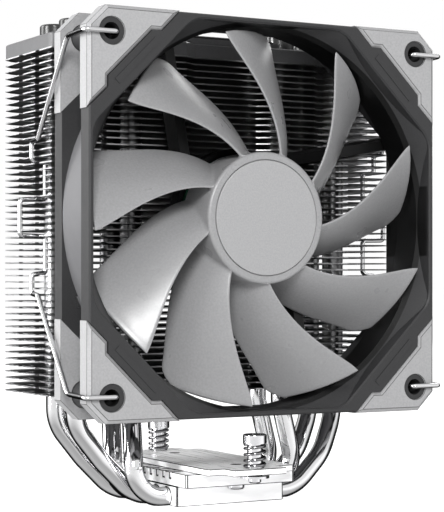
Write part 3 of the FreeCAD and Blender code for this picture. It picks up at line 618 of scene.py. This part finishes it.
def blade_rings():
    """Closed sections of one blade from inside the hub's wall to the tip."""
    chord_steps = 28
    root = HUB_RADIUS + BLADE_FILLET
    span = BLADE_TIP - BLADE_TIP_NOSE - root
    radii = [HUB_RADIUS - 0.8, HUB_RADIUS - 0.3]
    radii += [HUB_RADIUS + BLADE_FILLET * step / 8 for step in range(9)]
    radii += [root + span * step / 30 for step in range(1, 31)]
    radii += [BLADE_TIP - inset for inset in (0.3, 0.15, 0.05, 0.0)]
    chord = [0.5 - 0.5 * math.cos(math.pi * step / chord_steps) for step in range(chord_steps + 1)]
    rings = []
    for radius in radii:
        upper = [blade_point(radius, along, 1) for along in chord]
        lower = [blade_point(radius, along, -1) for along in chord[-2:0:-1]]
        rings.append(upper + lower)
    return rings


def lathe(profile, sides):
    """Points and faces of a closed (radius, depth) profile turned about the fan's axis."""
    points = []
    for radius, depth in profile:
        for side in range(sides):
            angle = 2 * math.pi * side / sides
            points.append(Vector((radius * math.cos(angle), depth, radius * math.sin(angle))))
    faces = []
    for station in range(len(profile)):
        following = (station + 1) % len(profile)
        for side in range(sides):
            after = (side + 1) % sides
            faces.append((station * sides + side, station * sides + after,
                          following * sides + after, following * sides + side))
    return points, faces


def quarter(centre, radius, start, steps=8):
    """Points of a quarter circle in the (radius, depth) plane, from start degrees on."""
    angles = [math.radians(start + 90.0 * step / steps) for step in range(steps + 1)]
    return [(centre[0] + radius * math.cos(a), centre[1] + radius * math.sin(a)) for a in angles]


def hub_profile():
    """Section of the hub cup: pocket for the disc, rounded rim, open rear, shaft boss."""
    pocket = HUB_FRONT + 0.6
    boss_radius, boss_end = 3.2, HUB_FRONT + 5.0
    bevel = 0.3
    rim = quarter((HUB_RADIUS - HUB_ROUNDING, HUB_FRONT + HUB_ROUNDING), HUB_ROUNDING, 270)
    lip = [(DISC_SEAT_RADIUS, pocket), (DISC_SEAT_RADIUS, HUB_FRONT + 0.15),
           (DISC_SEAT_RADIUS + 0.15, HUB_FRONT)]
    rear = [(HUB_RADIUS, HUB_REAR - bevel), (HUB_RADIUS - bevel, HUB_REAR), (HUB_BORE, HUB_REAR)]
    boss = [(HUB_BORE, HUB_FLOOR), (boss_radius, HUB_FLOOR), (boss_radius, boss_end)]
    return [(SHAFT_RADIUS, pocket)] + lip + rim + rear + boss + [(SHAFT_RADIUS, boss_end)]


def mesh_object(name, points, faces):
    """A bare mesh object with its faces turned outward."""
    mesh = bpy.data.meshes.new(name)
    mesh.from_pydata([point * MM for point in points], [], faces)
    work = bmesh.new()
    work.from_mesh(mesh)
    bmesh.ops.recalc_face_normals(work, faces=work.faces)
    work.to_mesh(mesh)
    work.free()
    holder = bpy.data.objects.new(name, mesh)
    SCENE.collection.objects.link(holder)
    return holder


def join_to(whole, part):
    """Unites a mesh object with another and removes the other."""
    union = whole.modifiers.new("join", "BOOLEAN")
    union.operation = "UNION"
    union.solver = "MANIFOLD"
    union.object = part
    view = bpy.context.evaluated_depsgraph_get()
    joined = bpy.data.meshes.new_from_object(whole.evaluated_get(view))
    whole.modifiers.clear()
    whole.data = joined
    bpy.data.objects.remove(part)


def make_impeller():
    """Hub and blades joined into one skin."""
    hub_points, hub_faces = lathe(hub_profile(), 120)
    hub = mesh_object("impeller_moulding", [point + FAN_CENTRE for point in hub_points], hub_faces)
    first, blade_faces = loft(blade_rings())
    for count in range(BLADE_COUNT):
        spin = Matrix.Rotation(math.radians(-BLADE_PHASE - count * 360 / BLADE_COUNT), 3, "Y")
        turned = [spin @ point + FAN_CENTRE for point in first]
        join_to(hub, mesh_object(f"blade_{count}", turned, blade_faces))
    hub.data.materials.clear()
    hub.data.materials.append(MATERIALS["impeller"])
    smooth(hub.data, 40)
    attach(hub, "rotor")
    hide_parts("impeller")


# ---- CAD nodes that stay ------------------------------------------------------------------

def paint_shade_on_chamfers(node, width, material):
    """Small chamfers along the sharp edges of a node, in a dark material that paints shade lines on
    the edges.
    """
    node.data.materials.append(material)
    weld = node.modifiers.new("weld", "WELD")
    weld.merge_threshold = WELD_DISTANCE * MM
    flat = node.modifiers.new("flat", "DECIMATE")
    flat.decimate_type = "DISSOLVE"
    flat.angle_limit = math.radians(0.5)
    bevel = node.modifiers.new("bevel", "BEVEL")
    bevel.width = width * MM
    bevel.segments = 1
    bevel.limit_method = "ANGLE"
    bevel.angle_limit = math.radians(40)
    bevel.material = 1
    bevel.use_clamp_overlap = False


def dress_cad_nodes():
    """Gives every CAD node its material and, on machined plates and pads, chamfered edges painted
    dark as shade.
    """
    slot_of = {entry["node"]: entry["material_slot"] for entry in frame["record"]["subparts"]}
    for name, node in NODES.items():
        node.data.materials.clear()
        node.data.materials.append(MATERIALS[slot_of[name]])
        if name in EDGE_WIDTH:
            paint_shade_on_chamfers(node, EDGE_WIDTH[name], CHAMFER_SHADE_METAL)
        elif slot_of[name] == "pads":
            paint_shade_on_chamfers(node, PAD_EDGE_WIDTH, CHAMFER_SHADE_RUBBER)


# ---- stage, light and camera --------------------------------------------------------------

CAMERA_TURN = math.radians(30.25)
# The level direction in which the camera looks.
AWAY = Vector((math.sin(CAMERA_TURN), math.cos(CAMERA_TURN), 0))


def make_floor():
    """A plain pale floor that runs far behind the object."""
    mesh = bpy.data.meshes.new("floor")
    half = 8.0
    corners = [(-half, -half, 0), (half, -half, 0), (half, half, 0), (-half, half, 0)]
    mesh.from_pydata(corners, [], [(0, 1, 2, 3)])
    floor = bpy.data.objects.new("floor", mesh)
    SCENE.collection.objects.link(floor)
    finish = Finish("floor_pale", (0.35, 0.35, 0.35), 0.8, Specular_IOR_Level=0.1)
    finish.set("Emission Color", (1, 1, 1, 1))
    finish.set("Emission Strength", 0.85)
    finish.vary_roughness(finish.noise(30), 0.05)
    floor.visible_glossy = False
    mesh.materials.append(finish.material)


def make_world():
    """A white studio, with a dark wall behind the object for the metal to reflect."""
    SCENE.world = bpy.data.worlds.new("studio")
    SCENE.world.use_nodes = True
    world = Nodes(SCENE.world.node_tree)
    direction = world.add("ShaderNodeTexCoord").outputs["Generated"]
    facing = world.add("ShaderNodeVectorMath", operation="DOT_PRODUCT")
    facing.inputs[1].default_value = AWAY
    world.link(direction, facing.inputs[0])
    to_back = world.spread(facing.outputs["Value"], 0.0, 1.0, -1.0, 1.0)
    levels = ((0.0, 0.85), (0.40, 1.2), (0.56, 0.9), (0.66, 0.04), (1.0, 0.01))
    walls = world.ramp(to_back, [(place, (level, level, level)) for place, level in levels])
    _, _, height = world.split(direction)
    overhead = world.spread(height, 0.0, 1.0, 0.06, 0.30)
    room = world.blend(overhead, walls, (0.8, 0.8, 0.8))
    dimmed = world.add("ShaderNodeVectorMath", operation="SCALE")
    world.link(room, dimmed.inputs[0])
    world.link(world.spread(height, 0.45, 1.0, -0.5, -0.15), dimmed.inputs["Scale"])
    path = world.add("ShaderNodeLightPath")
    around = world.tree.nodes["Background"]
    world.link(dimmed.outputs["Vector"], around.inputs["Color"])
    world.link(world.spread(path.outputs["Is Glossy Ray"], 0.55, 1.0, 0.0, 1.0),
               around.inputs["Strength"])
    backdrop = world.add("ShaderNodeBackground")
    backdrop.inputs["Color"].default_value = (1, 1, 1, 1)
    seen = world.add("ShaderNodeMixShader")
    world.link(path.outputs["Is Camera Ray"], seen.inputs["Fac"])
    world.link(around.outputs["Background"], seen.inputs[1])
    world.link(backdrop.outputs["Background"], seen.inputs[2])
    world.link(seen.outputs["Shader"], world.tree.nodes["World Output"].inputs["Surface"])


def area_light(name, place, target, size, power):
    """A soft rectangular lamp at place, facing target."""
    lamp = bpy.data.lights.new(name, "AREA")
    lamp.shape = "RECTANGLE"
    lamp.size, lamp.size_y = size
    lamp.energy = power
    holder = bpy.data.objects.new(name, lamp)
    holder.location = place
    holder.rotation_euler = (Vector(target) - Vector(place)).to_track_quat("-Z", "Y").to_euler()
    SCENE.collection.objects.link(holder)


def make_lights():
    """A soft key from the front left, a strip at the left and two fills behind."""
    middle = (0, 0, 0.08)
    area_light("key", (-0.60, -1.05, 0.60), middle, (0.35, 0.35), 15)
    area_light("rim", (-1.2, 0.05, 0.30), middle, (0.3, 0.8), 15)
    area_light("rear_left", (-0.9, 0.9, 0.5), middle, (0.5, 0.9), 9)
    area_light("rear_right", (0.9, 0.8, 0.6), middle, (0.5, 0.9), 10)


def make_camera():
    """A level camera to the left of the fan; the lens shift keeps the uprights upright."""
    data = bpy.data.cameras.new("camera")
    data.lens = 123.1
    data.sensor_width = 36.0
    data.shift_x = -0.1035
    data.shift_y = 0.0467
    camera = bpy.data.objects.new("camera", data)
    camera.location = (-0.2641, -0.4980, 0.0699)
    camera.rotation_euler = (math.radians(90), 0, -CAMERA_TURN)
    SCENE.collection.objects.link(camera)
    SCENE.camera = camera
    SCENE.view_settings.view_transform = "Standard"


make_camera()
make_world()
make_lights()
make_floor()
dress_cad_nodes()
make_heat_pipes()
make_wire_clips()
make_springs()
make_impeller()
